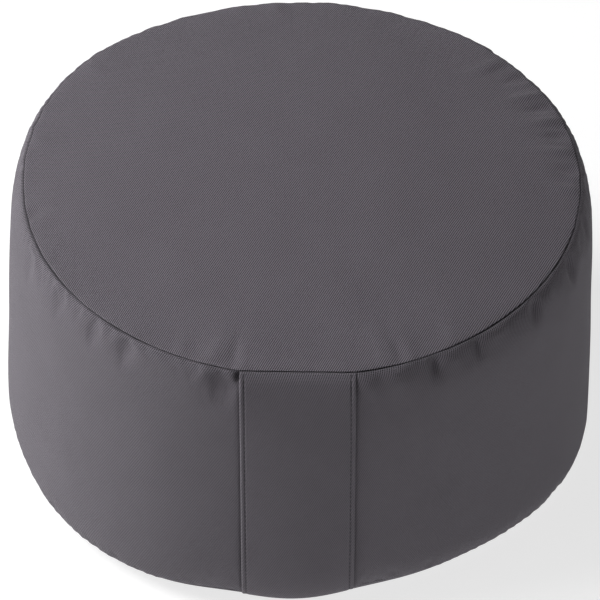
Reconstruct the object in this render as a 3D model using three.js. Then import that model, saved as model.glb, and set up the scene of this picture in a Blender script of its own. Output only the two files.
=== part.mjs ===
// A round, tightly filled floor cushion: a crowned top panel, a wall band and an underside sewn
// together at two seams, with a wide carrying strap caught in both seams at the front.
// Millimetres, +Z up. The strap faces -Y. The origin is the middle of the underside, on the floor.
import * as THREE from 'three';

const { abs, asin, atan2, cos, exp, max, min, PI, round, sin, sqrt } = Math;
const { degToRad, lerp, smoothstep } = THREE.MathUtils;

// The two seam rings: each is shifted and tilted a little, and its lobes push it out and up, fading over
// their half width. Angles are degrees from +X.
const TOP_SEAM = {
  radius: 149.4,
  height: 173.5,
  shift: { size: 2.5, towards: -28 },
  tilt: { size: 4.5, towards: 98 },
  lobes: [
    { angle: 25, half: 28, out: 1.5, up: 0 },
    { angle: 143, half: 26, out: 5, up: 0 },
  ],
};
const LOW_SEAM = {
  radius: 152.7,
  height: 12.5,
  shift: { size: 3, towards: 180 },
  tilt: { size: 1.9, towards: 180 },
  lobes: [
    { angle: -130, half: 32, out: 5, up: -3.5 },
    { angle: -50, half: 32, out: -2.9, up: -1.1 },
    { angle: -15, half: 32, out: 8.7, up: -6.2 },
  ],
};

// Swell of the filled cover
const CROWN = 11; // rise of the top panel above its seam
const CROWN_POWER = 2.2;
const WALL_BULGE = 6.3; // swell of the wall beyond a straight line from seam to seam
const SHOULDER = 9; // fall over which the wall swells out from a seam
const FLOOR_RADIUS = 136; // flat part of the underside
const UNDERSIDE_POWER = 2.2;
const SEAM_DIP = { depth: 1.3, run: 3.2 }; // groove where the sewn edges turn in

// Carrying strap
const STRAP = {
  width: 60,
  thickness: 2.2,
  seamThickness: 1, // pressed thin where it enters a seam
  pressRun: 6,
  wallGap: 0.55, // clearance to the wall, on which it lies
  slack: { size: 1, share: 0.82, spread: 0.18 }, // it stands off a little more low down
  edgeThickness: 1.3, // rolled edge of the folded cloth
  edgeRoll: 0.8, // run of that roll
  stitchInset: 2.4, // line of stitching along each edge, in a groove
  stitchHalf: 0.9,
  stitchDepth: 0.5,
};
const STRAP_HALF = STRAP.width / 2;
const FLAT_SHARE = 0.3; // the strap pulls the wall straight across itself, fading out this far down

// Folds pulled by the seams: angle and half width of each, the distance from the top seam where it is
// deepest (peak), and its depth there. A negative depth is a ridge.
const WALL_FOLDS = [
  { angle: -158, half: 8, peak: 9, depth: 1.0 },
  { angle: -145, half: 7, peak: 7, depth: 1.3 },
  { angle: -134, half: 6, peak: 8, depth: 1.4 },
  { angle: -125.5, half: 6, peak: 7, depth: 1.9 },
  { angle: -104.5, half: 10, peak: 9, depth: 3.4 },
  { angle: -76, half: 5, peak: 8, depth: -1.0 },
  { angle: -63.5, half: 6, peak: 10, depth: 1.9 },
  { angle: -55.5, half: 6, peak: 6, depth: 1.5 },
  { angle: -48, half: 6, peak: 8, depth: 1.3 },
  { angle: -40, half: 6, peak: 8, depth: 1.5 },
  { angle: -28.5, half: 7, peak: 12, depth: 1.4 },
  { angle: -17, half: 7, peak: 11, depth: 1.2 },
  { angle: 1, half: 6, peak: 8, depth: 1.4 },
  { angle: 13, half: 8, peak: 10, depth: 1.1 },
  { angle: 34, half: 6, peak: 7, depth: 1.6 },
  { angle: 47, half: 7, peak: 9, depth: 1.2 },
  { angle: 71, half: 6, peak: 8, depth: 1.7 },
  { angle: 84, half: 8, peak: 11, depth: 1.0 },
  { angle: 103, half: 6, peak: 7, depth: 1.5 },
  { angle: 126, half: 7, peak: 9, depth: 1.3 },
  { angle: 139, half: 6, peak: 7, depth: 1.6 },
  { angle: 162, half: 8, peak: 10, depth: 1.1 },
  { angle: 176, half: 6, peak: 8, depth: 1.4 },
];
const TOP_FOLDS = [
  { angle: -168.5, half: 5, peak: 6, depth: 0.8 },
  { angle: -114.5, half: 5, peak: 6, depth: -0.6 },
  { angle: -107.5, half: 4.5, peak: 11, depth: -1.1 },
  { angle: -103.5, half: 4.5, peak: 12, depth: 1.6 },
  { angle: -72.5, half: 4.5, peak: 11, depth: -1.1 },
  { angle: -69, half: 4.5, peak: 13, depth: 1.2 },
  { angle: -66, half: 4.5, peak: 11, depth: -0.9 },
  { angle: -56.5, half: 5, peak: 6, depth: -0.7 },
  { angle: -3.5, half: 5, peak: 7, depth: -0.9 },
  { angle: 8.5, half: 5, peak: 9, depth: -1.0 },
  { angle: 18.5, half: 5, peak: 8, depth: -1.1 },
  { angle: 27.5, half: 5, peak: 10, depth: -1.0 },
  { angle: 41, half: 6, peak: 11, depth: -0.8 },
  { angle: 95, half: 6, peak: 9, depth: -0.8 },
  { angle: 142, half: 6, peak: 8, depth: -0.8 },
  { angle: 168.5, half: 5, peak: 7, depth: -0.8 },
];

// Rings of points down the cushion's surface, from the crown to the floor: the distance at is measured
// from the seam next to the zone, and count is the number of points round the ring.
const RINGS = [
  { zone: 'top', at: 118, count: 18 },
  { zone: 'top', at: 84, count: 36 },
  { zone: 'top', at: 54, count: 54 },
  { zone: 'top', at: 34, count: 108 },
  { zone: 'top', at: 22, count: 216 },
  { zone: 'top', at: 14, count: 216 },
  { zone: 'top', at: 8, count: 216 },
  { zone: 'top', at: 3.2, count: 216 },
  { zone: 'top', at: 0, count: 216 },
  { zone: 'upperWall', at: 3.2, count: 216 },
  { zone: 'upperWall', at: 7, count: 216 },
  { zone: 'upperWall', at: 12, count: 216 },
  { zone: 'upperWall', at: 19, count: 216 },
  { zone: 'upperWall', at: 30, count: 108 },
  { zone: 'upperWall', at: 46, count: 72 },
  { zone: 'upperWall', at: 70, count: 72 },
  { zone: 'lowerWall', at: 60, count: 72 },
  { zone: 'lowerWall', at: 36, count: 72 },
  { zone: 'lowerWall', at: 20, count: 108 },
  { zone: 'lowerWall', at: 10, count: 108 },
  { zone: 'lowerWall', at: 3.2, count: 108 },
  { zone: 'lowerWall', at: 0, count: 108 },
  { zone: 'underside', at: 3.2, count: 108 },
  { zone: 'underside', at: 8, count: 108 },
  { zone: 'underside', at: 13, count: 72 },
];
const FLOOR_COUNT = 72;
const FIRST_ANGLE = -PI / 2;

const COTTON = { color: 0x58555b, roughness: 0.95, metalness: 0 };

// Signed angle between two directions, from -PI to PI
function turnBetween(angle, degrees) {
  const turn = angle - degToRad(degrees);
  return atan2(sin(turn), cos(turn));
}

function seamAt(seam, angle) {
  let radius = seam.radius + seam.shift.size * cos(turnBetween(angle, seam.shift.towards));
  let height = seam.height + seam.tilt.size * cos(turnBetween(angle, seam.tilt.towards));
  for (const lobe of seam.lobes) {
    const share = exp(-((turnBetween(angle, lobe.angle) / degToRad(lobe.half)) ** 2));
    radius += lobe.out * share;
    height += lobe.up * share;
  }
  return { radius, height };
}

function wallDrop(angle) {
  return seamAt(TOP_SEAM, angle).height - seamAt(LOW_SEAM, angle).height;
}

// Depth of the seam groove at a distance from the seam
function seamDip(distance) {
  return SEAM_DIP.depth * max(0, 1 - distance / SEAM_DIP.run);
}

// Depth of all folds of a panel at an angle and a distance from the seam
function foldDepth(folds, angle, distance) {
  return folds.reduce((sum, fold) => {
    const across = (TOP_SEAM.radius * turnBetween(angle, fold.angle)) / fold.half;
    const along = distance / fold.peak;
    return sum + fold.depth * exp(-(across ** 2)) * along * exp(1 - along);
  }, 0);
}

// Smooth wall at an angle, at a share of the way down from the top seam (0) to the bottom seam (1)
function wallRadius(angle, share) {
  const drop = wallDrop(angle);
  const swell = (1 - exp((-share * drop) / SHOULDER)) * (1 - exp(((share - 1) * drop) / SHOULDER));
  return lerp(seamAt(TOP_SEAM, angle).radius, seamAt(LOW_SEAM, angle).radius, share) + WALL_BULGE * swell;
}

function wallPoint(angle, share) {
  const radius = wallRadius(angle, share);
  const height = lerp(seamAt(TOP_SEAM, angle).height, seamAt(LOW_SEAM, angle).height, share);
  const point = new THREE.Vector3(radius * cos(angle), radius * sin(angle), height);
  if (point.y < 0 && abs(point.x) < STRAP_HALF) {
    const chord = -sqrt(radius ** 2 - STRAP_HALF ** 2);
    point.y = lerp(chord, point.y, smoothstep(share, 0, FLAT_SHARE));
  }
  return point;
}

function towardsAxis(point, angle, depth) {
  point.x -= depth * cos(angle);
  point.y -= depth * sin(angle);
  return point;
}

// Surface of each zone of the cushion, at an angle and a distance from the zone's seam
const ZONES = {
  top(angle, inset) {
    const seam = seamAt(TOP_SEAM, angle);
    const reach = 1 - inset / seam.radius;
    const point = wallPoint(angle, 0).multiplyScalar(reach);
    const rise = CROWN * (1 - reach ** CROWN_POWER);
    point.z = lerp(TOP_SEAM.height, seam.height, reach) + rise - foldDepth(TOP_FOLDS, angle, inset);
    return towardsAxis(point, angle, seamDip(inset));
  },
  upperWall(angle, below) {
    const point = wallPoint(angle, below / wallDrop(angle));
    return towardsAxis(point, angle, foldDepth(WALL_FOLDS, angle, below) + seamDip(below));
  },
  lowerWall(angle, above) {
    const point = wallPoint(angle, 1 - above / wallDrop(angle));
    return towardsAxis(point, angle, seamDip(above));
  },
  underside(angle, inset) {
    const low = seamAt(LOW_SEAM, angle);
    const share = max(0, 1 - inset / (low.radius - FLOOR_RADIUS));
    const radius = lerp(FLOOR_RADIUS, low.radius, share) - seamDip(inset);
    return new THREE.Vector3(radius * cos(angle), radius * sin(angle), low.height * share ** UNDERSIDE_POWER);
  },
};

function solidOf(points, triangles, name) {
  const geometry = new THREE.BufferGeometry();
  geometry.setFromPoints(points);
  geometry.setIndex(triangles);
  geometry.computeVertexNormals();
  const mesh = new THREE.Mesh(geometry, new THREE.MeshStandardMaterial({ ...COTTON, name: 'cotton_twill' }));
  mesh.name = name;
  return mesh;
}

// Triangles between two closed loops of points, which may hold different numbers of points
function joinLoops(triangles, upper, lower) {
  let i = 0;
  let j = 0;
  while (i < upper.count || j < lower.count) {
    const a = upper.start + (i % upper.count);
    const b = lower.start + (j % lower.count);
    const lowerIsBehind = j / lower.count <= i / upper.count;
    if (j < lower.count && (lowerIsBehind || i === upper.count)) {
      j += 1;
      triangles.push(a, b, lower.start + (j % lower.count));
    } else {
      i += 1;
      triangles.push(a, b, upper.start + (i % upper.count));
    }
  }
}

function makeCushion() {
  const points = [new THREE.Vector3(0, 0, TOP_SEAM.height + CROWN)];
  const triangles = [];
  const loops = [];
  const addLoop = (count, place) => {
    loops.push({ start: points.length, count });
    for (let k = 0; k < count; k += 1) {
      points.push(place(FIRST_ANGLE + (2 * PI * k) / count));
    }
  };
  for (const ring of RINGS) {
    addLoop(ring.count, (angle) => ZONES[ring.zone](angle, ring.at));
  }
  addLoop(FLOOR_COUNT, (angle) => new THREE.Vector3(FLOOR_RADIUS * cos(angle), FLOOR_RADIUS * sin(angle), 0));
  const floorMiddle = points.length;
  points.push(new THREE.Vector3());

  const first = loops[0];
  for (let k = 0; k < first.count; k += 1) {
    triangles.push(0, first.start + k, first.start + ((k + 1) % first.count));
  }
  for (let k = 1; k < loops.length; k += 1) {
    joinLoops(triangles, loops[k - 1], loops[k]);
  }
  const last = loops[loops.length - 1];
  for (let k = 0; k < last.count; k += 1) {
    triangles.push(last.start + k, floorMiddle, last.start + ((k + 1) % last.count));
  }
  return solidOf(points, triangles, 'cushion');
}

// Strap sections run from just under the top seam to just above the bottom seam. Their points stand at
// these distances from the middle line, closest together over the stitched edges.
const STRAP_ROWS = { first: 1.2, last: 2, step: 6.5 };
const STRAP_COLUMNS = [
  STRAP_HALF,
  STRAP_HALF - STRAP.edgeRoll,
  STRAP_HALF - STRAP.stitchInset + STRAP.stitchHalf,
  STRAP_HALF - STRAP.stitchInset,
  STRAP_HALF - STRAP.stitchInset - STRAP.stitchHalf,
  STRAP_HALF * 0.6,
  STRAP_HALF * 0.3,
];

function strapThickness(x, fromSeam) {
  const fromEdge = STRAP_HALF - abs(x);
  const edge = smoothstep(fromEdge, 0, STRAP.edgeRoll);
  const groove = max(0, 1 - abs(fromEdge - STRAP.stitchInset) / STRAP.stitchHalf);
  const full = lerp(STRAP.edgeThickness, STRAP.thickness, edge) - STRAP.stitchDepth * groove;
  return lerp(STRAP.seamThickness, full, smoothstep(fromSeam, 0, STRAP.pressRun));
}

// Point of the smooth wall at a sideways place on the strap, with the direction out of the wall there
function wallAtStrap(x, share) {
  const step = 1e-3;
  let angle = FIRST_ANGLE;
  for (let pass = 0; pass < 4; pass += 1) {
    angle = FIRST_ANGLE + asin(x / wallRadius(angle, share));
  }
  const point = wallPoint(angle, share);
  const down = wallPoint(angle, min(1, share + step)).sub(wallPoint(angle, max(0, share - step)));
  return { point, out: new THREE.Vector3(0, down.z, -down.y).normalize() };
}

function makeStrap() {
  const columns = [...STRAP_COLUMNS.map((x) => -x), 0, ...[...STRAP_COLUMNS].reverse()];
  const drop = wallDrop(FIRST_ANGLE);
  const rowCount = round((drop - STRAP_ROWS.first - STRAP_ROWS.last) / STRAP_ROWS.step);
  const points = [];
  const triangles = [];
  const loops = [];
  for (let row = 0; row <= rowCount; row += 1) {
    const below = lerp(STRAP_ROWS.first, drop - STRAP_ROWS.last, row / rowCount);
    const share = below / drop;
    const fromSeam = min(below - STRAP_ROWS.first, drop - STRAP_ROWS.last - below);
    const slack = STRAP.slack.size * exp(-(((share - STRAP.slack.share) / STRAP.slack.spread) ** 2));
    const gap = STRAP.wallGap + slack * smoothstep(fromSeam, 0, STRAP.pressRun * 2);
    const section = columns.map((x) => ({ x, ...wallAtStrap(x, share) }));
    const lift = ({ point, out }, distance) => point.clone().addScaledVector(out, distance);
    loops.push({ start: points.length, count: columns.length * 2 });
    points.push(...section.map((spot) => lift(spot, gap + strapThickness(spot.x, fromSeam))));
    points.push(...section.map((spot) => lift(spot, gap)).reverse());
  }
  for (let k = 1; k < loops.length; k += 1) {
    joinLoops(triangles, loops[k - 1], loops[k]);
  }
  const last = loops[loops.length - 1];
  for (let k = 0; k < columns.length - 1; k += 1) {
    const inner = 2 * columns.length - 1 - k;
    triangles.push(k, k + 1, inner - 1);
    triangles.push(k, inner - 1, inner);
    triangles.push(last.start + k + 1, last.start + k, last.start + inner);
    triangles.push(last.start + k + 1, last.start + inner, last.start + inner - 1);
  }
  return solidOf(points, triangles, 'carry_strap');
}

const yogaCushion = new THREE.Group();
yogaCushion.add(makeCushion(), makeStrap());

export default yogaCushion;
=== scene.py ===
"""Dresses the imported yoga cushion: a filled cover in dark grey twill with a stitched carrying strap."""

import math

import bpy
import numpy as np
from bpy.props import FloatProperty, FloatVectorProperty, PointerProperty
from bpy.types import Operator, Panel, PropertyGroup
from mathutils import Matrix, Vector, noise


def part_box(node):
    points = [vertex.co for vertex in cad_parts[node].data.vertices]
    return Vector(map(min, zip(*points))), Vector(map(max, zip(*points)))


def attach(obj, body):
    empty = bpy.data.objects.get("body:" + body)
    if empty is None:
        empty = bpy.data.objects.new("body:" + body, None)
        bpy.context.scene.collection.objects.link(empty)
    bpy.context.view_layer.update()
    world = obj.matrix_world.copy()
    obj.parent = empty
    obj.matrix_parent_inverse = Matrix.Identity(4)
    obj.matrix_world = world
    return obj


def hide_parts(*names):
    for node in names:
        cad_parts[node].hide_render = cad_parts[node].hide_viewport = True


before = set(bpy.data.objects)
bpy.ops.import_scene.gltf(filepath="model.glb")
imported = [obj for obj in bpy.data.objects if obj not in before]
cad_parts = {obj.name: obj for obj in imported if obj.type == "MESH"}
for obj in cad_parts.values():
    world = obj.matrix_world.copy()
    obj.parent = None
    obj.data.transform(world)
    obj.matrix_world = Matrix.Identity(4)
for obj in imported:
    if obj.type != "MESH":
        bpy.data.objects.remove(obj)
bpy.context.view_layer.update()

bl_info = {
    "name": "Yoga cushion",
    "version": (1, 0, 0),
    "blender": (4, 5, 0),
    "location": "3D View > Sidebar > Cushion",
    "description": "Sews and fills a round yoga cushion with a carrying strap, in a studio",
    "category": "Object",
}

STRAP_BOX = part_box("carry_strap")
MM = 0.001
FRONT = -math.pi / 2

# Height of the wall and width of the brim that the rings of points are spaced for, in millimetres
WALL_DROP = 158.0
BRIM = 16.7

# Painted shade in the gaps of the weave, strongest where light rakes the cloth: its strength on the top
# panel and at the top seam, the faint strength it fades to on the wall, and how far below the seam it fades
TOP_WEAVE_SHADE = 1.6
SEAM_WEAVE_SHADE = 1.25
FAINT_WEAVE_SHADE = 0.4
WEAVE_SHADE_RUN = 7.0

# Painted shade in a seam's slit: the share of its colour that the cloth loses there, and the half width of
# that dark line
SEAM_DARKENING = 0.62
SEAM_LINE = 0.32

# The seam rings, in millimetres and degrees from +X. Each is shifted and tilted a little, and its lobes
# push it out and up, fading over their half width.
TOP_SEAM = {
    "radius": 149.4,
    "height": 173.5,
    "shift": {"size": 2.5, "towards": -28},
    "tilt": {"size": 4.5, "towards": 98},
    "lobes": (
        {"angle": 25, "half": 28, "out": 1.5, "up": 0},
        {"angle": 143, "half": 26, "out": 5, "up": 0},
    ),
}
LOW_SEAM = {
    "radius": 152.7,
    "height": 12.5,
    "shift": {"size": 3, "towards": 180},
    "tilt": {"size": 1.9, "towards": 180},
    "lobes": (
        {"angle": -130, "half": 32, "out": 5, "up": -3.5},
        {"angle": -50, "half": 32, "out": -2.9, "up": -1.1},
        {"angle": -15, "half": 32, "out": 8.7, "up": -6.2},
        {"angle": -90, "half": 9, "out": 2, "up": 0},
        {"angle": -104, "half": 8, "out": -1, "up": 1.2},
        {"angle": -74, "half": 8, "out": -1, "up": 1.2},
    ),
}

# Folds pulled by the top seam: angle in degrees, half width, distance from the seam where it is deepest,
# and depth, in millimetres. A negative depth is a ridge.
WALL_FOLDS = (
    (-158, 8, 9, 1.0),
    (-145, 7, 7, 1.3),
    (-134, 6, 8, 1.4),
    (-125.5, 6, 7, 1.9),
    (-104.5, 10, 9, 2.9),
    (-101.6, 1.4, 3, 4.5),
    (-76.5, 4.5, 7, -1.5),
    (-71, 6, 6, -1.6),
    (-62.5, 3.4, 5, 2.9),
    (-58.5, 3.5, 4, -1.0),
    (-53, 3.2, 4, 2.1),
    (-47.5, 6, 3, -0.8),
    (-37, 3.6, 5.5, 2.6),
    (-32, 4, 6, -0.8),
    (-22.5, 3.8, 7, 2.7),
    (-18, 4, 8, -0.8),
    (-10, 4, 8, 1.8),
    (1, 6, 8, 1.4),
    (13, 8, 10, 1.1),
    (34, 6, 7, 1.6),
    (47, 7, 9, 1.2),
    (71, 6, 8, 1.7),
    (84, 8, 11, 1.0),
    (103, 6, 7, 1.5),
    (126, 7, 9, 1.3),
    (139, 6, 7, 1.6),
    (162, 8, 10, 1.1),
    (176, 6, 8, 1.4),
)
TOP_FOLDS = (
    (-168.5, 5, 6, 0.8),
    (-114.5, 5, 6, -0.6),
    (-107.5, 4.5, 11, -0.7),
    (-103.5, 4, 11, 0.8),
    (-72.5, 4, 10, -0.5),
    (-69, 4, 11, 0.5),
    (-66, 4, 10, -0.4),
    (-56.5, 5, 6, -0.7),
    (-3.5, 4, 7, -1.3),
    (2.5, 4, 7, 1.0),
    (8.5, 4, 9, -1.5),
    (13.5, 4, 8, 1.2),
    (18.5, 4, 8, -1.6),
    (23, 4, 8, 1.1),
    (27.5, 4.5, 10, -1.5),
    (34, 5, 9, 0.9),
    (41, 5, 11, -1.2),
    (95, 6, 9, -0.8),
    (142, 6, 8, -0.8),
    (168.5, 5, 7, -0.8),
)


# Settings


class CoverSettings(PropertyGroup):
    """Sizes of the filled cover"""

    crown: FloatProperty(
        name="Crown", description="Rise of the top panel above its seam", default=11 * MM, unit="LENGTH"
    )
    bulge: FloatProperty(
        name="Wall bulge", description="Swell of the wall beyond the seams", default=6.9 * MM, unit="LENGTH"
    )
    shoulder: FloatProperty(
        name="Shoulder",
        description="Fall over which the wall swells out from a seam",
        default=9 * MM,
        unit="LENGTH",
    )
    floor_radius: FloatProperty(
        name="Floor radius", description="Flat part of the underside", default=136 * MM, unit="LENGTH"
    )
    seam_depth: FloatProperty(
        name="Seam depth",
        description="Depth of the slit where the sewn edges turn in",
        default=1.7 * MM,
        unit="LENGTH",
    )
    seam_lip: FloatProperty(
        name="Seam lip",
        description="Swell of the cloth over the turned edges beside a seam",
        default=2.0 * MM,
        unit="LENGTH",
    )
    spare: FloatProperty(
        name="Spare cloth",
        description="Share of cloth gathered into the top seam",
        default=0.02,
        subtype="FACTOR",
        min=0,
        max=0.1,
    )
    pressure: FloatProperty(
        name="Filling pressure", description="Push of the filling while the cover settles", default=4.0
    )


class StrapSettings(PropertyGroup):
    """Sizes of the carrying strap"""

    width: FloatProperty(
        name="Width",
        description="Width of the strap",
        default=STRAP_BOX[1][0] - STRAP_BOX[0][0],
        unit="LENGTH",
    )
    thickness: FloatProperty(
        name="Thickness", description="Thickness of the folded cloth", default=2.2 * MM, unit="LENGTH"
    )
    gap: FloatProperty(
        name="Wall gap",
        description="Clearance between the strap and the wall",
        default=0.1 * MM,
        unit="LENGTH",
    )
    slack: FloatProperty(
        name="Slack",
        description="How much further the strap stands off low down",
        default=1.0 * MM,
        unit="LENGTH",
    )
    stitch_inset: FloatProperty(
        name="Stitch inset",
        description="Distance of the stitching from the edge",
        default=2.4 * MM,
        unit="LENGTH",
    )
    stitch_pitch: FloatProperty(
        name="Stitch pitch", description="Distance from stitch to stitch", default=3.2 * MM, unit="LENGTH"
    )
    thread: FloatProperty(
        name="Thread", description="Thickness of the sewing thread", default=0.45 * MM, unit="LENGTH"
    )


class ClothSettings(PropertyGroup):
    """Look of the cotton"""

    cloth: FloatVectorProperty(
        name="Cloth",
        description="Colour of the dyed cotton",
        default=(0.133, 0.1215, 0.1395),
        subtype="COLOR",
        min=0,
        max=1,
    )
    thread: FloatVectorProperty(
        name="Thread",
        description="Colour of the sewing thread",
        default=(0.05, 0.047, 0.054),
        subtype="COLOR",
        min=0,
        max=1,
    )
    warp: FloatProperty(
        name="Warp",
        description="Distance between warp yarns",
        default=0.297 * MM,
        unit="LENGTH",
        precision=6,
    )
    weft: FloatProperty(
        name="Weft",
        description="Distance between weft yarns",
        default=0.58 * MM,
        unit="LENGTH",
        precision=6,
    )
    depth: FloatProperty(
        name="Weave depth",
        description="Height of the yarns' relief",
        default=0.24 * MM,
        unit="LENGTH",
        precision=6,
    )
    # Painted shade: the gaps between yarns are painted darker than the yarns' tops
    contrast: FloatProperty(
        name="Weave contrast", description="How much darker the gaps between yarns are", default=2.3
    )


class StageSettings(PropertyGroup):
    """Studio round the cushion"""

    distance: FloatProperty(
        name="Camera distance", description="Camera to the cushion's middle", default=2.328, unit="LENGTH"
    )
    elevation: FloatProperty(
        name="Camera elevation",
        description="Angle of the camera above the floor",
        default=math.radians(42),
        subtype="ANGLE",
    )
    focal_pixels: FloatProperty(
        name="Focal length",
        description="Focal length in pixels of a 600 pixel wide picture",
        default=4217.9,
        subtype="PIXEL",
    )
    floor: FloatVectorProperty(
        name="Floor",
        description="Colour of the floor",
        default=(0.35, 0.35, 0.35),
        subtype="COLOR",
        min=0,
        max=1,
    )
    floor_glow: FloatProperty(
        name="Floor glow", description="Light that the floor gives from below", default=0.74
    )
    key_power: FloatProperty(
        name="Key light", description="Power of the low light on the left", default=25, unit="POWER"
    )
    side_power: FloatProperty(
        name="Side light", description="Power of the wide light on the left", default=11, unit="POWER"
    )
    top_power: FloatProperty(
        name="Top light", description="Power of the high light on the left", default=44, unit="POWER"
    )
    rim_power: FloatProperty(
        name="Rim light", description="Power of the weak light on the right", default=2.5, unit="POWER"
    )


class CushionSettings(PropertyGroup):
    """All settings of the cushion"""

    cover: PointerProperty(name="Cover", description="Sizes of the filled cover", type=CoverSettings)
    strap: PointerProperty(name="Strap", description="Sizes of the carrying strap", type=StrapSettings)
    cloth: PointerProperty(name="Cloth", description="Look of the cotton", type=ClothSettings)
    stage: PointerProperty(name="Stage", description="Studio round the cushion", type=StageSettings)


# Shape of the cushion, in millimetres


def smoothstep(value, low, high):
    share = np.clip((value - low) / (high - low), 0, 1)
    return share * share * (3 - 2 * share)


def turn_between(angle, degrees):
    """Signed angle from a direction given in degrees, from -pi to pi."""
    turn = angle - math.radians(degrees)
    return np.arctan2(np.sin(turn), np.cos(turn))


def seam_at(seam, angle):
    """Radius and height of a seam ring at an angle."""
    shift, tilt = seam["shift"], seam["tilt"]
    radius = seam["radius"] + shift["size"] * np.cos(turn_between(angle, shift["towards"]))
    height = seam["height"] + tilt["size"] * np.cos(turn_between(angle, tilt["towards"]))
    for lobe in seam["lobes"]:
        share = np.exp(-((turn_between(angle, lobe["angle"]) / math.radians(lobe["half"])) ** 2))
        radius = radius + lobe["out"] * share
        height = height + lobe["up"] * share
    return radius, height


class CoverShape:
    """The cover's surface, from the sizes in its settings."""

    CROWN_POWER = 2.2
    UNDERSIDE_POWER = 2.2
    FLAT_SHARE = 0.3
    SLIT_RUN = 0.13
    SLIT_FALL = 0.6
    LOW_SLIT_RISE = 0.3
    LIP_RISE = 1.6
    LIP_FALL = 5.0
    TOP_LIP = 0.25
    LOW_LIP = 0.5
    STRAP_PRESS = 1.2
    STRAP_INSIDE = 1.5
    STRAP_OUTSIDE = 1.0
    WOBBLE = 0.45
    WOBBLE_SCALE = 8.0
    WOBBLE_FADE = 5.0
    WOBBLE_SLICE = 0.5

    def __init__(self, settings):
        cover = settings.cover
        self.crown = cover.crown / MM
        self.bulge = cover.bulge / MM
        self.shoulder = cover.shoulder / MM
        self.floor_radius = cover.floor_radius / MM
        self.seam_depth = cover.seam_depth / MM
        self.seam_lip = cover.seam_lip / MM
        self.strap_half = settings.strap.width / MM / 2

    def drop(self, angle):
        """Height of the wall, from seam to seam."""
        return seam_at(TOP_SEAM, angle)[1] - seam_at(LOW_SEAM, angle)[1]

    def wall_radius(self, angle, share):
        drop = self.drop(angle)
        swell = 1 - np.exp(-share * drop / self.shoulder)
        swell = swell * (1 - np.exp((share - 1) * drop / self.shoulder))
        top, low = seam_at(TOP_SEAM, angle)[0], seam_at(LOW_SEAM, angle)[0]
        return top + (low - top) * share + self.bulge * swell

    def wall(self, angle, share):
        """Smooth wall, a share of the way down from the top seam to the bottom seam."""
        radius = self.wall_radius(angle, share)
        top, low = seam_at(TOP_SEAM, angle)[1], seam_at(LOW_SEAM, angle)[1]
        x, y = radius * np.cos(angle), radius * np.sin(angle)
        chord = -np.sqrt(np.maximum(radius**2 - self.strap_half**2, 0))
        straight = (y < 0) & (np.abs(x) < self.strap_half)
        y = np.where(straight, chord + (y - chord) * smoothstep(share, 0, self.FLAT_SHARE), y)
        return np.stack([x, y, top + (low - top) * share], -1)

    def behind_strap(self, points):
        """1 behind the strap, 0 beside it."""
        inside, outside = self.strap_half - self.STRAP_INSIDE, self.strap_half + self.STRAP_OUTSIDE
        beside = smoothstep(np.abs(points[..., 0]), inside, outside)
        return np.where(points[..., 1] < 0, 1 - beside, 0.0)

    def slit(self, distance):
        return self.seam_depth * np.exp(-distance / self.SLIT_RUN)

    def lip(self, distance):
        rise = 1 - np.exp(-distance / self.LIP_RISE)
        return self.seam_lip * rise * np.exp(-distance / self.LIP_FALL)

    def wobble(self, angle, distance):
        """Small unevenness of the top seam's line, fading away from it."""
        around = TOP_SEAM["radius"] / self.WOBBLE_SCALE
        rise = [noise.noise((around * math.cos(a), around * math.sin(a), self.WOBBLE_SLICE)) for a in angle]
        return self.WOBBLE * np.array(rise) * np.exp(-distance / self.WOBBLE_FADE)

    def folds(self, rows, angle, distance):
        depth = np.zeros(np.broadcast(angle, distance).shape)
        for at, half, peak, deepest in rows:
            across = TOP_SEAM["radius"] * turn_between(angle, at) / half
            along = distance / peak
            depth = depth + deepest * np.exp(-(across**2)) * along * np.exp((1 - along**2) / 2)
        return depth

    @staticmethod
    def shifted(points, angle, out, up):
        """Points moved outwards from the cushion's axis, and up."""
        return points + np.stack([out * np.cos(angle), out * np.sin(angle), up + 0 * angle], -1)

    def top(self, angle, inset, sewn=True):
        """Top panel, at a distance in from its seam."""
        radius, height = seam_at(TOP_SEAM, angle)
        reach = 1 - inset / radius
        points = self.wall(angle, np.zeros_like(angle)) * reach[..., None]
        middle = TOP_SEAM["height"]
        rise = self.crown * (1 - np.maximum(reach, 0) ** self.CROWN_POWER)
        points[..., 2] = middle + (height - middle) * reach + rise - self.folds(TOP_FOLDS, angle, inset)
        if not sewn:
            return points
        slit = self.slit(inset)
        wobble = self.wobble(angle, inset)
        up = wobble + self.TOP_LIP * self.lip(inset) - self.SLIT_FALL * slit
        return self.shifted(points, angle, wobble - slit, up)

    def side(self, angle, below, sewn=True):
        """Wall, at a distance below the top seam."""
        drop = self.drop(angle)
        points = self.wall(angle, below / drop)
        out = -self.folds(WALL_FOLDS, angle, below)
        if not sewn:
            return self.shifted(points, angle, out, 0)
        behind = self.behind_strap(points)
        slit, low_slit = self.slit(below), self.slit(drop - below)
        lip = self.lip(below) + self.LOW_LIP * self.lip(drop - below)
        press = self.STRAP_PRESS * behind * (1 - np.exp(-below / self.SLIT_RUN))
        out = out + lip * (1 - behind) - slit - low_slit - press
        wobble = self.wobble(angle, below) * (1 - behind)
        up = wobble + self.LOW_SLIT_RISE * low_slit - self.SLIT_FALL * slit
        return self.shifted(points, angle, out + wobble, up)

    def underside(self, angle, inset, sewn=True):
        """Rounded brim of the bottom panel, at a distance in from the bottom seam."""
        radius, height = seam_at(LOW_SEAM, angle)
        share = np.clip(1 - inset / (radius - self.floor_radius), 0, 1)
        out = self.floor_radius + (radius - self.floor_radius) * share
        if sewn:
            out = out - self.slit(inset)
        up = height * share**self.UNDERSIDE_POWER
        return np.stack([out * np.cos(angle), out * np.sin(angle), up], -1)


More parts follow.
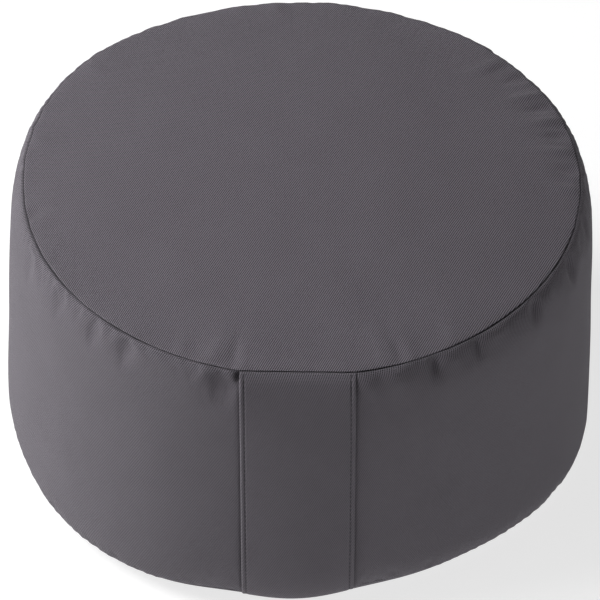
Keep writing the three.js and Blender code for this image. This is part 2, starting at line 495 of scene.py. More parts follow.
def graded(first, growth, largest, end):
    """Distances from a seam to end, in steps that grow from first to largest."""
    places, step = [0.0], first
    while places[-1] < end:
        places.append(places[-1] + step)
        step = min(step * growth, largest)
    return np.array(places) * (end / places[-1])


def weave_shade_below(below):
    """Strength of the painted shade in the gaps of the weave at a distance below the top seam."""
    return FAINT_WEAVE_SHADE + (SEAM_WEAVE_SHADE - FAINT_WEAVE_SHADE) * np.exp(-below / WEAVE_SHADE_RUN)


def seam_shade(distance):
    """Share of its colour that the cloth keeps at a distance from a seam, under the painted shade of the
    seam's slit.
    """
    return 1 - SEAM_DARKENING * np.exp(-((distance / SEAM_LINE) ** 2))


class CoverGrid:
    """Rings of points over the cover, from the middle of the top to the middle of the underside."""

    FLAT_RINGS = 5

    def __init__(self, shape, columns, first, growth, largest, sewn):
        self.turns = FRONT + np.arange(columns) * (2 * math.pi / columns)
        self.columns = columns
        turns = self.turns
        top_radius = seam_at(TOP_SEAM, turns)[0]
        brim = seam_at(LOW_SEAM, turns)[0] - shape.floor_radius
        drop = shape.drop(turns)
        self.insets = graded(first, growth, largest, TOP_SEAM["radius"])[:-1]
        half = graded(first, growth, largest, WALL_DROP / 2)
        self.falls = np.concatenate([half, WALL_DROP - half[-2::-1]])
        self.brims = graded(first, growth, largest, BRIM)
        inner = np.linspace(shape.floor_radius, 0, self.FLAT_RINGS + 2)[1:-1]
        inwards = [d / TOP_SEAM["radius"] * top_radius for d in self.insets]
        self.top = np.stack([shape.top(turns, inset, sewn) for inset in inwards])
        self.side = np.stack([shape.side(turns, d / WALL_DROP * drop, sewn) for d in self.falls])
        self.brim = np.stack([shape.underside(turns, d / BRIM * brim, sewn) for d in self.brims])
        circle = np.stack([np.cos(turns), np.sin(turns), 0 * turns], -1)
        self.flat = np.stack([radius * circle for radius in inner])
        self.middle = np.array([0, 0, TOP_SEAM["height"] + shape.crown])

    def vertices(self):
        """All points, ring after ring. A seam's ring is kept once, with the panel above it."""
        rings = np.concatenate([self.top[::-1], self.side[1:], self.brim[1:], self.flat])
        return np.concatenate([self.middle[None], rings.reshape(-1, 3), np.zeros((1, 3))])

    def painted_shade(self):
        """At each point, how strongly the gaps of the weave are painted darker as painted shade, and how
        much of its colour the cloth keeps under the painted shade of a seam's slit.
        """
        top, side = self.insets[::-1], self.falls[1:]
        under = len(self.brim) - 1 + len(self.flat)
        # Painted shade in the gaps of the weave: strong on the top panel, fading down the wall from the
        # seam, faint on the underside
        weave_shades = [np.full(len(top), TOP_WEAVE_SHADE), weave_shade_below(side), np.full(under, FAINT_WEAVE_SHADE)]
        nearer = np.minimum(side, WALL_DROP - side)
        nearest = [top, nearer, self.brims[1:], np.full(len(self.flat), BRIM)]
        rings = {"painted_weave_shade": np.concatenate(weave_shades), "seam_shade": seam_shade(np.concatenate(nearest))}
        painted_shade = {}
        for name, ring in rings.items():
            painted_shade[name] = np.concatenate([[ring[0]], np.repeat(ring, self.columns), [ring[-1]]])
        return painted_shade

    def faces(self):
        """Triangles round the two middles, and quads between the rings."""
        ring = np.arange(self.columns)
        ahead = (ring + 1) % self.columns
        rings = len(self.top) + len(self.side) + len(self.brim) + len(self.flat) - 2
        first, last = 1, 1 + (rings - 1) * self.columns
        end = 1 + rings * self.columns
        faces = np.stack([0 * ring, first + ring, first + ahead], 1).tolist()
        for upper in range(first, last, self.columns):
            lower = upper + self.columns
            faces += np.stack([upper + ring, lower + ring, lower + ahead, upper + ahead], 1).tolist()
        return faces + np.stack([last + ring, 0 * ring + end, last + ahead], 1).tolist()

    def uvs(self):
        """Each panel's cloth laid flat, corner by corner, in the faces' order."""
        ring = np.arange(self.columns)
        ahead = (ring + 1) % self.columns
        around = np.append(self.turns, self.turns[0] + 2 * math.pi) * TOP_SEAM["radius"]
        tops, sides = self.top[::-1, :, :2], self.falls
        unders = np.concatenate([self.brim, self.flat])[..., :2]
        zero = np.zeros((self.columns, 2))
        corners = [np.stack([zero, tops[0], tops[0][ahead]], 1)]
        for upper, lower in zip(tops, tops[1:]):
            corners.append(np.stack([upper, lower, lower[ahead], upper[ahead]], 1))
        for upper, lower in zip(sides, sides[1:]):
            left, right = around[ring], around[ring + 1]
            high, low = np.full(self.columns, -upper), np.full(self.columns, -lower)
            places = ((left, high), (left, low), (right, low), (right, high))
            corners.append(np.stack([np.stack(place, -1) for place in places], 1))
        for upper, lower in zip(unders, unders[1:]):
            corners.append(np.stack([upper, lower, lower[ahead], upper[ahead]], 1))
        corners.append(np.stack([unders[-1], zero, unders[-1][ahead]], 1))
        return np.concatenate([c.reshape(-1, 2) for c in corners]) * MM


def resampled(values, places, wanted, columns):
    """Values on rings at some distances, read smoothly at other distances and with other columns."""
    slopes = np.gradient(values, places, axis=0)
    before = np.clip(np.searchsorted(places, wanted) - 1, 0, len(places) - 2)
    step = places[before + 1] - places[before]
    share = ((wanted - places[before]) / step)[:, None, None]
    left, right = slopes[before] * step[:, None, None], slopes[before + 1] * step[:, None, None]
    mixed = values[before] * (1 + 2 * share) * (1 - share) ** 2 + left * share * (1 - share) ** 2
    mixed = mixed + values[before + 1] * share**2 * (3 - 2 * share) + right * share**2 * (share - 1)
    return np.fft.irfft(np.fft.rfft(mixed, axis=1), columns, axis=1) * (columns / values.shape[1])


def unevenness(points, scale):
    """Smooth lumps from -1 to 1 at each point, about a scale apart."""
    lumps = [noise.noise(Vector(point) / scale) for point in points.reshape(-1, 3)]
    return np.array(lumps).reshape(points.shape[:-1])


class Settling:
    """Lets the filled cover gather and swell as cloth, and keeps how far each point moves."""

    COLUMNS = 360
    FIRST = 2.6
    GROWTH = 1.08
    LARGEST = 6.0
    FRAMES = 18
    QUALITY = 6
    TOP_SPARE = 0.4
    LOW_SPARE = 0.5
    WALL_REACH = 14.0
    TOP_REACH = 10.0
    FOLD_SPREAD = 1.5
    LEAST_SHARE = 0.04
    LONGEST_MOVE = 4.0
    TOP_FADE = 26.0
    WALL_FADE = 60.0

    def __init__(self, shape, settings):
        self.shape = shape
        self.spare = settings.cover.spare
        self.pressure = settings.cover.pressure
        self.grid = CoverGrid(shape, self.COLUMNS, self.FIRST, self.GROWTH, self.LARGEST, sewn=False)

    def fold_share(self, rows):
        """How much of the spare cloth lies at each angle: most of it where the seam's folds are."""
        share = np.full(self.COLUMNS, self.LEAST_SHARE)
        for at, half, _, depth in rows:
            if depth > 0:
                across = TOP_SEAM["radius"] * turn_between(self.grid.turns, at) / (half * self.FOLD_SPREAD)
                share = np.maximum(share, np.exp(-(across**2)))
        return share

    def spare_cloth(self):
        """Share by which the cloth outgrows the form at each point, and how firmly the point is held."""
        grid = self.grid
        rises = WALL_DROP - grid.falls
        near_top = np.exp(-((grid.insets / self.TOP_REACH) ** 2))[:, None] * self.fold_share(TOP_FOLDS)
        near_wall = np.exp(-((grid.falls / self.WALL_REACH) ** 2))[:, None] * self.fold_share(WALL_FOLDS)
        near_low = np.exp(-((rises / self.WALL_REACH) ** 2))[:, None]
        top = self.TOP_SPARE * self.spare * near_top
        side = self.spare * near_wall + self.LOW_SPARE * self.spare * near_low
        under = np.zeros((len(grid.brim) - 1 + len(grid.flat), self.COLUMNS))
        spare = np.concatenate([top[::-1], side[1:], under])
        held_top, held_side = np.zeros_like(top), self.shape.behind_strap(grid.side)
        held_top[0] = 1
        held_side[-1] = 1
        held = np.concatenate([held_top[::-1], held_side[1:], under + 1])
        return np.concatenate([[0], spare.ravel(), [0]]), np.concatenate([[0], held.ravel(), [1]])

    @staticmethod
    def weigh(piece, name, weights):
        group = piece.vertex_groups.new(name=name)
        rounded = np.round(weights, 2)
        for weight in np.unique(rounded):
            group.add(np.flatnonzero(rounded == weight).tolist(), float(weight), "REPLACE")

    def run(self, context):
        """Moves of the top panel's and the wall's points, in millimetres."""
        start = self.grid.vertices() * MM
        mesh = bpy.data.meshes.new("settling")
        mesh.from_pydata(start.tolist(), [], self.grid.faces())
        piece = bpy.data.objects.new("settling", mesh)
        context.scene.collection.objects.link(piece)
        spare, held = self.spare_cloth()
        self.weigh(piece, "held", held)
        self.weigh(piece, "tight", 1 - spare / spare.max())
        modifier = piece.modifiers.new("settling", "CLOTH")
        cloth = modifier.settings
        cloth.quality = self.QUALITY
        cloth.use_pressure = True
        cloth.uniform_pressure_force = self.pressure
        cloth.effector_weights.gravity = 0
        cloth.vertex_group_mass = "held"
        cloth.vertex_group_shrink = "tight"
        cloth.shrink_max = 0
        cloth.shrink_min = -spare.max()
        modifier.collision_settings.use_collision = False
        modifier.point_cache.frame_start = 1
        modifier.point_cache.frame_end = self.FRAMES
        for number in range(1, self.FRAMES + 1):
            context.scene.frame_set(number)
        settled = piece.evaluated_get(context.evaluated_depsgraph_get())
        ends = np.empty(start.size)
        settled.data.vertices.foreach_get("co", ends)
        moves = (ends.reshape(-1, 3) - start) / MM
        bpy.data.objects.remove(piece)
        context.scene.frame_set(1)
        size = np.linalg.norm(moves, axis=1, keepdims=True)
        if not np.isfinite(size).all():
            raise RuntimeError("the cover did not settle")
        moves = moves * (self.LONGEST_MOVE / np.maximum(size, self.LONGEST_MOVE))
        moves = moves[1:-1].reshape(-1, self.COLUMNS, 3)
        tops = len(self.grid.top)
        return moves[:tops][::-1], moves[tops - 1 : tops - 1 + len(self.grid.side)]

    def apply(self, context, grid):
        """Adds the settled cloth's moves to a finer grid, fading them away from the seams."""
        top, side = self.run(context)
        fade = np.exp(-((grid.insets / self.TOP_FADE) ** 2))[:, None, None]
        grid.top += fade * resampled(top, self.grid.insets, grid.insets, grid.columns)
        nearest = np.minimum(grid.falls, WALL_DROP - grid.falls)
        fade = np.exp(-((nearest / self.WALL_FADE) ** 2))[:, None, None]
        beside = (1 - self.shape.behind_strap(grid.side))[..., None]
        grid.side += fade * beside * resampled(side, self.grid.falls, grid.falls, grid.columns)


# Meshes and materials


def mesh_object(name, vertices, faces, uvs, painted_shade, material):
    """A smooth mesh at the origin, with a UV point in metres at each corner and its painted shades at each
    vertex.
    """
    mesh = bpy.data.meshes.new(name)
    mesh.from_pydata(vertices.tolist(), [], faces)
    layer = mesh.uv_layers.new(name="cloth")
    layer.data.foreach_set("uv", np.asarray(uvs, dtype=np.float32).ravel())
    for key, values in painted_shade.items():
        mesh.attributes.new(key, "FLOAT", "POINT").data.foreach_set("value", values.astype(np.float32))
    mesh.polygons.foreach_set("use_smooth", np.ones(len(mesh.polygons), dtype=bool))
    mesh.materials.append(material)
    mesh.validate()
    piece = bpy.data.objects.new(name, mesh)
    bpy.context.scene.collection.objects.link(piece)
    return piece


class ShadeValue:
    """A number that varies over a surface, with Python's operators for its arithmetic."""

    def __init__(self, shader, socket):
        self.shader = shader
        self.socket = socket

    def _math(self, operation, first, second):
        return self.shader.node("ShaderNodeMath", {"operation": operation}, {0: first, 1: second})

    def __add__(self, other):
        return self._math("ADD", self, other)

    __radd__ = __add__

    def __sub__(self, other):
        return self._math("SUBTRACT", self, other)

    def __rsub__(self, other):
        return self._math("SUBTRACT", other, self)

    def __mul__(self, other):
        return self._math("MULTIPLY", self, other)

    __rmul__ = __mul__

    def __truediv__(self, other):
        return self._math("DIVIDE", self, other)

    def floor(self):
        return self._math("FLOOR", self, 0.0)

    def wrapped(self, period):
        return self._math("FLOORED_MODULO", self, period)

    def at_least(self, other):
        return self._math("MAXIMUM", self, other)


class Shader:
    """A material's nodes, ending in one Principled surface."""

    def __init__(self, name):
        self.material = bpy.data.materials.new(name)
        self.material.use_nodes = True
        self.tree = self.material.node_tree
        self.surface = self.tree.nodes["Principled BSDF"]

    def node(self, kind, settings=None, inputs=None, output=0):
        """A node of a kind, with its settings and inputs, as the value of one of its outputs."""
        made = self.tree.nodes.new(kind)
        for key, value in (settings or {}).items():
            setattr(made, key, value)
        for key, value in (inputs or {}).items():
            self.feed(made.inputs[key], value)
        return ShadeValue(self, made.outputs[output])

    def noise(self, place, look):
        return self.node("ShaderNodeTexNoise", None, {"Vector": place, **look})

    def tinted(self, colour, shade):
        return self.node("ShaderNodeVectorMath", {"operation": "SCALE"}, {0: tuple(colour), "Scale": shade})

    # Reads one of the painted shades stored at the mesh's points
    def painted_shade(self, name):
        return self.node("ShaderNodeAttribute", {"attribute_name": name}, None, output=2)

    def feed(self, socket, value):
        if isinstance(value, ShadeValue):
            self.tree.links.new(value.socket, socket)
        else:
            socket.default_value = value

    def set(self, **inputs):
        for key, value in inputs.items():
            self.feed(self.surface.inputs[key.replace("_", " ")], value)


# The twill: wefts that a warp yarn floats over, the noises in it, and how far they shift and shade it
FLOATS = 3
YARN_WANDER = {"Scale": 220.0, "Detail": 2.0}
YARN_DRIFT = {"Scale": 90.0, "Detail": 1.0}
FIBRES = {"Scale": 2600.0, "Detail": 3.0, "Roughness": 0.7}
DYE_CLOUDS = {"Scale": 38.0, "Detail": 4.0, "Roughness": 0.6}
NOISE_MIDDLE = 0.5
WANDER_SIZE = 0.7
DRIFT_SIZE = 0.9
WEFT_HEIGHT = 0.35
MEAN_HEIGHT = 0.42
FIBRE_SHADE = 0.4
DYE_SHADE = 0.16
DARKEST = 0.05
YARN_RELIEF = 0.75
FIBRE_RELIEF = 0.2
TWILL_FINISH = {
    "Roughness": 0.85,
    "Specular_IOR_Level": 0.25,
    "Sheen_Weight": 0.12,
    "Sheen_Roughness": 0.45,
    "Sheen_Tint": (0.8, 0.78, 0.82, 1.0),
}

# The sewing thread: the noise of its twist, its darkest shade and how much lighter it gets
THREAD_TWIST = {"Scale": 2400.0, "Detail": 1.0}
THREAD_DARKEST = 0.8
THREAD_LIGHTER = 0.4
THREAD_FINISH = {"Roughness": 0.7, "Specular_IOR_Level": 0.3}


def twill_material(settings):
    """Cotton twill: a warp yarn floats over three wefts and under one, a step higher than its neighbour."""
    shader = Shader("dyed_twill")
    cloth = settings.cloth
    place = shader.node("ShaderNodeUVMap", {"uv_map": "cloth"})
    sideways = shader.node("ShaderNodeSeparateXYZ", None, {0: place}, output=0)
    upwards = shader.node("ShaderNodeSeparateXYZ", None, {0: place}, output=1)
    wander = (shader.noise(place, YARN_WANDER) - NOISE_MIDDLE) * WANDER_SIZE
    drift = (shader.noise(place, YARN_DRIFT) - NOISE_MIDDLE) * DRIFT_SIZE
    yarns = sideways / cloth.warp + wander
    number = yarns.floor()
    across = (yarns - number) * 2 - 1
    along = (upwards / cloth.weft - number + drift).wrapped(FLOATS + 1)
    bow = along / (FLOATS / 2) - 1
    warp = (1 - across * across) * (1 - bow * bow * bow * bow).at_least(0)
    dip = (along - (FLOATS + 0.5)) * 2
    weft = (1 - dip * dip).at_least(0) * WEFT_HEIGHT
    height = warp.at_least(weft)
    fibre = shader.noise(place, FIBRES)
    dye = shader.noise(place, DYE_CLOUDS)
    # Painted shade: the gaps between yarns are painted darker, most strongly on the top panel and just
    # below the top seam, where light rakes the cloth. The rib shade is not centred, so it also paints those
    # parts a little lighter overall.
    ribs = (height - MEAN_HEIGHT) * shader.painted_shade("painted_weave_shade") * cloth.contrast
    shade = 1 + ribs + (fibre - NOISE_MIDDLE) * FIBRE_SHADE + (dye - NOISE_MIDDLE) * DYE_SHADE
    # Painted shade of a seam's slit: the cloth is painted darker along each seam
    shade = shade.at_least(DARKEST) * shader.painted_shade("seam_shade")
    relief = height * YARN_RELIEF + fibre * FIBRE_RELIEF
    bump = shader.node("ShaderNodeBump", None, {"Strength": 1.0, "Distance": cloth.depth, "Height": relief})
    shader.set(Base_Color=shader.tinted(cloth.cloth, shade), Normal=bump, **TWILL_FINISH)
    return shader.material


def thread_material(settings):
    """Twisted sewing thread, darker than the cloth."""
    shader = Shader("sewing_thread")
    place = shader.node("ShaderNodeTexCoord", None, None, output=3)
    shade = THREAD_DARKEST + shader.noise(place, THREAD_TWIST) * THREAD_LIGHTER
    shader.set(Base_Color=shader.tinted(settings.cloth.thread, shade), **THREAD_FINISH)
    return shader.material


def material_named(name, make, settings):
    return bpy.data.materials.get(name) or make(settings)


# Pieces


class CUSHION_OT_cover(Operator):
    """Sew and fill the cushion's cover"""

    bl_idname = "cushion.cover"
    bl_label = "Filled cover"

    COLUMNS = 720
    FIRST = 0.1
    GROWTH = 1.35
    LARGEST = 4.2
    LUMP = 0.5
    LUMP_SCALE = 42.0

    def execute(self, context):
        settings = context.scene.yoga_cushion
        shape = CoverShape(settings)
        grid = CoverGrid(shape, self.COLUMNS, self.FIRST, self.GROWTH, self.LARGEST, sewn=True)
        uvs = grid.uvs()
        Settling(shape, settings).apply(context, grid)
        lumps = self.LUMP / TOP_SEAM["radius"] * unevenness(grid.side, self.LUMP_SCALE)
        grid.side[..., :2] *= 1 + lumps[..., None]
        grid.top[..., 2] += self.LUMP * unevenness(grid.top, self.LUMP_SCALE)
        material = material_named("dyed_twill", twill_material, settings)
        vertices = grid.vertices() * MM
        piece = mesh_object("cushion_cover", vertices, grid.faces(), uvs, grid.painted_shade(), material)
        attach(piece, "root")
        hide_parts("cushion")
        return {"FINISHED"}


class StrapShape:
    """The strap's surface, lying on the cover's smooth wall."""

    FIRST = 0.05
    LAST = 0.1
    SEAM_THICKNESS = 0.9
    PRESS_RUN = 5.0
    EDGE_THICKNESS = 1.0
    EDGE_ROLL = 0.8
    GROOVE_DEPTH = 0.55
    GROOVE_HALF = 0.45
    TURN_IN = 1.7
    TURN_RUN = 0.35
    SLACK_SHARE = 0.82
    SLACK_SPREAD = 0.18
    ROUNDS = 4
    STEP = 1e-3

    def __init__(self, settings):
        self.cover = CoverShape(settings)
        strap = settings.strap
        self.half = strap.width / MM / 2
        self.thickness = strap.thickness / MM
        self.gap = strap.gap / MM
        self.slack = strap.slack / MM
        self.inset = strap.stitch_inset / MM
        self.drop = float(self.cover.drop(np.array(FRONT)))
        self.run = self.drop - self.FIRST - self.LAST

    def from_seam(self, below):
        return np.minimum(below - self.FIRST, self.drop - self.LAST - below)

    def depth_at(self, x, below):
        """Thickness of the strap: rolled edges, a groove for the stitching, pressed thin at the seams."""
        from_edge = self.half - np.abs(x)
        roll = np.sqrt(np.clip(1 - (1 - np.clip(from_edge / self.EDGE_ROLL, 0, 1)) ** 2, 0, 1))
        full = self.EDGE_THICKNESS + (self.thickness - self.EDGE_THICKNESS) * roll
        full = full - self.GROOVE_DEPTH * np.exp(-(((from_edge - self.inset) / self.GROOVE_HALF) ** 2))
        free = smoothstep(self.from_seam(below), 0, self.PRESS_RUN)
        return self.SEAM_THICKNESS + (full - self.SEAM_THICKNESS) * free

    def gap_at(self, below):
        away = (below / self.drop - self.SLACK_SHARE) / self.SLACK_SPREAD
        slack = self.slack * np.exp(-(away**2))
        return self.gap + slack * smoothstep(self.from_seam(below), 0, 2 * self.PRESS_RUN)

    def base(self, x, below):
        """Points of the wall behind the strap, and the directions out of it."""
        share = below / self.drop
        angle = np.full(np.broadcast(x, below).shape, FRONT)
        for _ in range(self.ROUNDS):
            angle = FRONT + np.arcsin(x / self.cover.wall_radius(angle, share))
        above = self.cover.wall(angle, np.maximum(share - self.STEP, 0))
        down = self.cover.wall(angle, np.minimum(share + self.STEP, 1)) - above
        out = np.stack([np.zeros_like(angle), down[..., 2], -down[..., 1]], -1)
        return self.cover.wall(angle, share), out / np.linalg.norm(out, axis=-1, keepdims=True)

    def face(self, x, below, lift):
        """Points of the strap at a lift of 0, its inner face, to 1, its outer face."""
        points, out = self.base(x, below)
        from_seam = np.minimum(below, self.drop - below)
        turn_in = self.TURN_IN * np.exp(-from_seam / self.TURN_RUN)
        height = self.gap_at(below) + lift * self.depth_at(x, below) - turn_in
        return points + out * height[..., None]


class CUSHION_OT_strap(Operator):
    """Fold the carrying strap, with a groove for its stitching"""

    bl_idname = "cushion.strap"
    bl_label = "Carrying strap"

    HEM_STEPS = (0.1, 1.4, 0.5)
    FLAT_STEPS = (0.1, 1.4, 3.0)
    END_STEPS = (0.12, 1.3, 1.6)

    def execute(self, context):
        settings = context.scene.yoga_cushion
        shape = StrapShape(settings)
        hem = graded(*self.HEM_STEPS, shape.inset / 2)
        flat = shape.inset + graded(*self.FLAT_STEPS, shape.half - shape.inset)
        from_edge = np.concatenate([hem, shape.inset - hem[-2::-1], flat[1:]])
        side = shape.half - from_edge
        columns = np.concatenate([-side, side[-2::-1]])
        ends = graded(*self.END_STEPS, shape.run / 2)
        below = shape.FIRST + np.concatenate([ends, shape.run - ends[-2::-1]])
        rows = len(below)
        x, fall = np.meshgrid(columns, below)
        outer = shape.face(x, fall, 1.0)
        inner = shape.face(x, fall, 0.0)[:, ::-1]
        loops = np.concatenate([outer, inner], axis=1)
        count = loops.shape[1]
        flat_x = np.concatenate([columns, columns[::-1]])
        ring = np.arange(count)
        ahead = (ring + 1) % count
        faces, uvs = [], []
        for r in range(1, rows):
            upper, lower = (r - 1) * count, r * count
            quads = np.stack([upper + ring, lower + ring, lower + ahead, upper + ahead], 1)
            faces.extend(map(tuple, quads.tolist()))
            corners = [(ring, r - 1), (ring, r), (ahead, r), (ahead, r - 1)]
            laid = [np.stack([flat_x[c], np.full(count, -below[k])], -1) for c, k in corners]
            uvs.append(np.stack(laid, 1).reshape(-1, 2))
        for row, order in ((0, 1), (rows - 1, -1)):
            for k in range(len(columns) - 1):
                quad = [k, k + 1, count - 2 - k, count - 1 - k][::order]
                faces.append(tuple(row * count + c for c in quad))
                uvs.append(np.array([[flat_x[c], -below[row]] for c in quad]))
        material = material_named("dyed_twill", twill_material, settings)
        # Painted shade in the gaps of the weave, stronger near the top seam, and painted shade of the
        # seam's slit at the strap's top end
        rings = {"painted_weave_shade": weave_shade_below(below), "seam_shade": seam_shade(below)}
        painted_shade = {name: np.repeat(ring, count) for name, ring in rings.items()}
        vertices = loops.reshape(-1, 3) * MM
        piece = mesh_object("carrying_strap", vertices, faces, np.concatenate(uvs) * MM, painted_shade, material)
        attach(piece, "root")
        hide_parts("carry_strap")
        return {"FINISHED"}


class CUSHION_OT_stitches(Operator):
    """Sew a row of stitches along each edge of the strap"""

    bl_idname = "cushion.stitches"
    bl_label = "Strap stitches"

    GUIDE_POINTS = 120
    FROM_END = 1.5
    STITCH_SHARE = 0.78
    BALL = {"Segments": 8, "Rings": 6, "Radius": 0.5}

    def execute(self, context):
        settings = context.scene.yoga_cushion
        shape = StrapShape(settings)
        start, end = shape.FIRST + self.FROM_END, shape.drop - shape.LAST - self.FROM_END
        below = np.linspace(start, end, self.GUIDE_POINTS)
        guide = bpy.data.curves.new("stitch_guide", "CURVE")
        guide.dimensions = "3D"
        for side in (-1, 1):
            x = np.full_like(below, side * (shape.half - shape.inset))
            spline = guide.splines.new("POLY")
            spline.points.add(len(below) - 1)
            points = shape.face(x, below, 1.0) * MM
            spline.points.foreach_set("co", np.column_stack([points, np.ones(len(below))]).ravel())
        piece = bpy.data.objects.new("stitch_guide", guide)
        context.scene.collection.objects.link(piece)
        modifier = piece.modifiers.new("stitches", "NODES")
        modifier.node_group = self.stitch_tree(material_named("sewing_thread", thread_material, settings))
        values = {"Pitch": settings.strap.stitch_pitch, "Thread": settings.strap.thread}
        for item in modifier.node_group.interface.items_tree:
            if item.name in values:
                modifier[item.identifier] = values[item.name]
        evaluated = piece.evaluated_get(context.evaluated_depsgraph_get())
        mesh = bpy.data.meshes.new_from_object(evaluated)
        bpy.data.objects.remove(piece)
        mesh.name = "strap_stitches"
        stitches = bpy.data.objects.new("strap_stitches", mesh)
        context.scene.collection.objects.link(stitches)
        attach(stitches, "root")
        flat = (2 * shape.half * MM, shape.run * MM)
        return {"FINISHED"}

    def stitch_tree(self, material):
        """Lays one stitch at each pitch along the guide curves."""
        tree = bpy.data.node_groups.new("strap_stitches", "GeometryNodeTree")
        tree.interface.new_socket("Geometry", in_out="INPUT", socket_type="NodeSocketGeometry")
        for name in ("Pitch", "Thread"):
            tree.interface.new_socket(name, in_out="INPUT", socket_type="NodeSocketFloat")
        tree.interface.new_socket("Geometry", in_out="OUTPUT", socket_type="NodeSocketGeometry")

        def node(kind, settings=None, inputs=None):
            made = tree.nodes.new(kind)
            for key, value in (settings or {}).items():
                setattr(made, key, value)
            for key, value in (inputs or {}).items():
                if isinstance(value, bpy.types.NodeSocket):
                    tree.links.new(value, made.inputs[key])
                else:
                    made.inputs[key].default_value = value
            return made

        given = node("NodeGroupInput")
        geometry, pitch, thread = given.outputs[0], given.outputs[1], given.outputs[2]
        spots = node("GeometryNodeResampleCurve", {"mode": "LENGTH"}, {"Curve": geometry, "Length": pitch})
        ball = node("GeometryNodeMeshUVSphere", None, self.BALL)
        length = node("ShaderNodeMath", {"operation": "MULTIPLY"}, {0: pitch, 1: self.STITCH_SHARE})
        size = node("ShaderNodeCombineXYZ", None, {0: thread, 1: thread, 2: length.outputs[0]})
        tangent = node("GeometryNodeInputTangent")
        turn = node("FunctionNodeAlignRotationToVector", {"axis": "Z"}, {"Vector": tangent.outputs[0]})
        inputs = {
            "Points": spots.outputs[0],
            "Instance": ball.outputs[0],
            "Rotation": turn.outputs[0],
            "Scale": size.outputs[0],
        }
        placed = node("GeometryNodeInstanceOnPoints", None, inputs)
        real = node("GeometryNodeRealizeInstances", None, {0: placed.outputs[0]})
        smooth = node("GeometryNodeSetShadeSmooth", None, {0: real.outputs[0]})
        sewn = {"Geometry": smooth.outputs[0], "Material": material}
        dyed = node("GeometryNodeSetMaterial", None, sewn)
        node("NodeGroupOutput", None, {0: dyed.outputs[0]})
        return tree


# Stage and panel


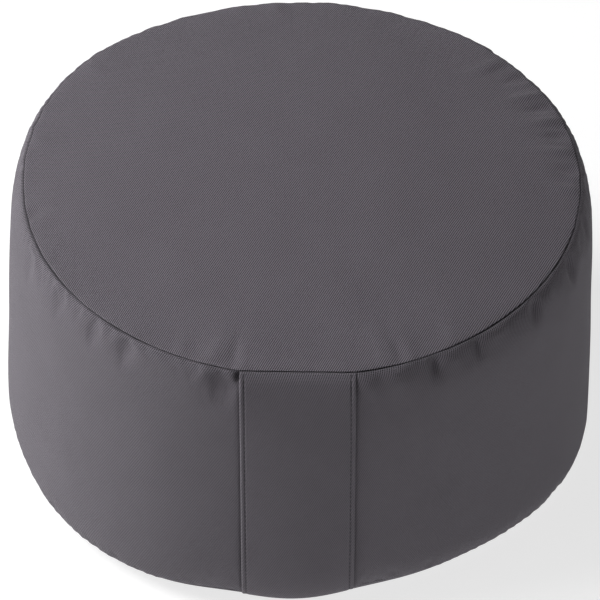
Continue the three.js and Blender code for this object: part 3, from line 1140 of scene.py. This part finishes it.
class CUSHION_OT_stage(Operator):
    """Set the floor, the lights and the camera"""

    bl_idname = "cushion.stage"
    bl_label = "Studio"

    TARGET = Vector((1.17, 0.0, 85.9)) * MM
    WHITE = (1, 1, 1, 1)
    WORLD_STRENGTH = 0.02
    LIGHT_DISTANCE = 2.4
    FLOOR_HALF = 6.0
    FLOOR_GRAIN = {"Scale": 30.0}
    FLOOR_DARKEST = 0.99
    FLOOR_LIGHTER = 0.02
    FLOOR_FINISH = {"Roughness": 0.85, "Specular_IOR_Level": 0.2}
    SENSOR_WIDTH = 36.0
    PICTURE_PIXELS = 600
    CLIP_END = 50

    # Each light's azimuth and elevation in degrees, and its width in metres
    KEY_LIGHT = (165, 20, 0.8)
    SIDE_LIGHT = (195, 46, 2.0)
    TOP_LIGHT = (180, 52, 1.2)
    RIM_LIGHT = (0, 12, 1.2)

    def execute(self, context):
        stage = context.scene.yoga_cushion.stage
        self.floor(context, stage)
        self.camera(context, stage)
        self.area(context, "key_light", *self.KEY_LIGHT, stage.key_power)
        self.area(context, "side_light", *self.SIDE_LIGHT, stage.side_power)
        self.area(context, "top_light", *self.TOP_LIGHT, stage.top_power)
        self.area(context, "rim_light", *self.RIM_LIGHT, stage.rim_power)
        world = bpy.data.worlds.new("studio")
        world.use_nodes = True
        background = world.node_tree.nodes["Background"]
        background.inputs["Color"].default_value = self.WHITE
        background.inputs["Strength"].default_value = self.WORLD_STRENGTH
        context.scene.world = world
        context.scene.view_settings.view_transform = "Standard"
        return {"FINISHED"}

    def floor(self, context, stage):
        shader = Shader("studio_floor")
        place = shader.node("ShaderNodeTexCoord", None, None, output=3)
        shade = self.FLOOR_DARKEST + shader.noise(place, self.FLOOR_GRAIN) * self.FLOOR_LIGHTER
        shader.set(Base_Color=shader.tinted(stage.floor, shade), **self.FLOOR_FINISH)
        shader.set(Emission_Color=self.WHITE, Emission_Strength=stage.floor_glow)
        half = self.FLOOR_HALF
        corners = [(-half, -half, 0), (half, -half, 0), (half, half, 0), (-half, half, 0)]
        mesh = bpy.data.meshes.new("studio_floor")
        mesh.from_pydata(corners, [], [(0, 1, 2, 3)])
        mesh.materials.append(shader.material)
        floor = bpy.data.objects.new("studio_floor", mesh)
        context.scene.collection.objects.link(floor)

    def camera(self, context, stage):
        data = bpy.data.cameras.new("camera")
        data.sensor_width = self.SENSOR_WIDTH
        data.lens = stage.focal_pixels / self.PICTURE_PIXELS * data.sensor_width
        data.clip_end = self.CLIP_END
        camera = bpy.data.objects.new("camera", data)
        back = Vector((0, -math.cos(stage.elevation), math.sin(stage.elevation)))
        camera.location = self.TARGET + back * stage.distance
        camera.rotation_euler = (-back).to_track_quat("-Z", "Y").to_euler()
        context.scene.collection.objects.link(camera)
        context.scene.camera = camera

    def area(self, context, name, azimuth, elevation, size, power):
        """A round soft light, facing the cushion from an azimuth and elevation in degrees."""
        data = bpy.data.lights.new(name, "AREA")
        data.shape = "DISK"
        data.size = size
        data.energy = power
        lamp = bpy.data.objects.new(name, data)
        turn, lift = math.radians(azimuth), math.radians(elevation)
        level = math.cos(lift)
        towards = Vector((level * math.cos(turn), level * math.sin(turn), math.sin(lift)))
        lamp.location = self.TARGET + towards * self.LIGHT_DISTANCE
        lamp.rotation_euler = (-towards).to_track_quat("-Z", "Y").to_euler()
        context.scene.collection.objects.link(lamp)


class CUSHION_PT_pieces(Panel):
    """Pieces of the cushion and their sizes"""

    bl_idname = "CUSHION_PT_pieces"
    bl_label = "Yoga cushion"
    bl_space_type = "VIEW_3D"
    bl_region_type = "UI"
    bl_category = "Cushion"

    def draw(self, context):
        settings = context.scene.yoga_cushion
        groups = {
            "cover": settings.cover,
            "strap": settings.strap,
            "stitches": settings.cloth,
            "stage": settings.stage,
        }
        for operator, group in groups.items():
            box = self.layout.box()
            box.operator(f"cushion.{operator}")
            for name in group.__annotations__:
                box.prop(group, name)


CLASSES = (
    CoverSettings,
    StrapSettings,
    ClothSettings,
    StageSettings,
    CushionSettings,
    CUSHION_OT_cover,
    CUSHION_OT_strap,
    CUSHION_OT_stitches,
    CUSHION_OT_stage,
    CUSHION_PT_pieces,
)


def register():
    for cls in CLASSES:
        bpy.utils.register_class(cls)
    bpy.types.Scene.yoga_cushion = PointerProperty(
        name="Yoga cushion", description="All settings of the cushion", type=CushionSettings
    )


def unregister():
    del bpy.types.Scene.yoga_cushion
    for cls in reversed(CLASSES):
        bpy.utils.unregister_class(cls)


def main():
    register()
    bpy.ops.cushion.cover()
    bpy.ops.cushion.strap()
    bpy.ops.cushion.stitches()
    bpy.ops.cushion.stage()


if __name__ == "__main__":
    main()
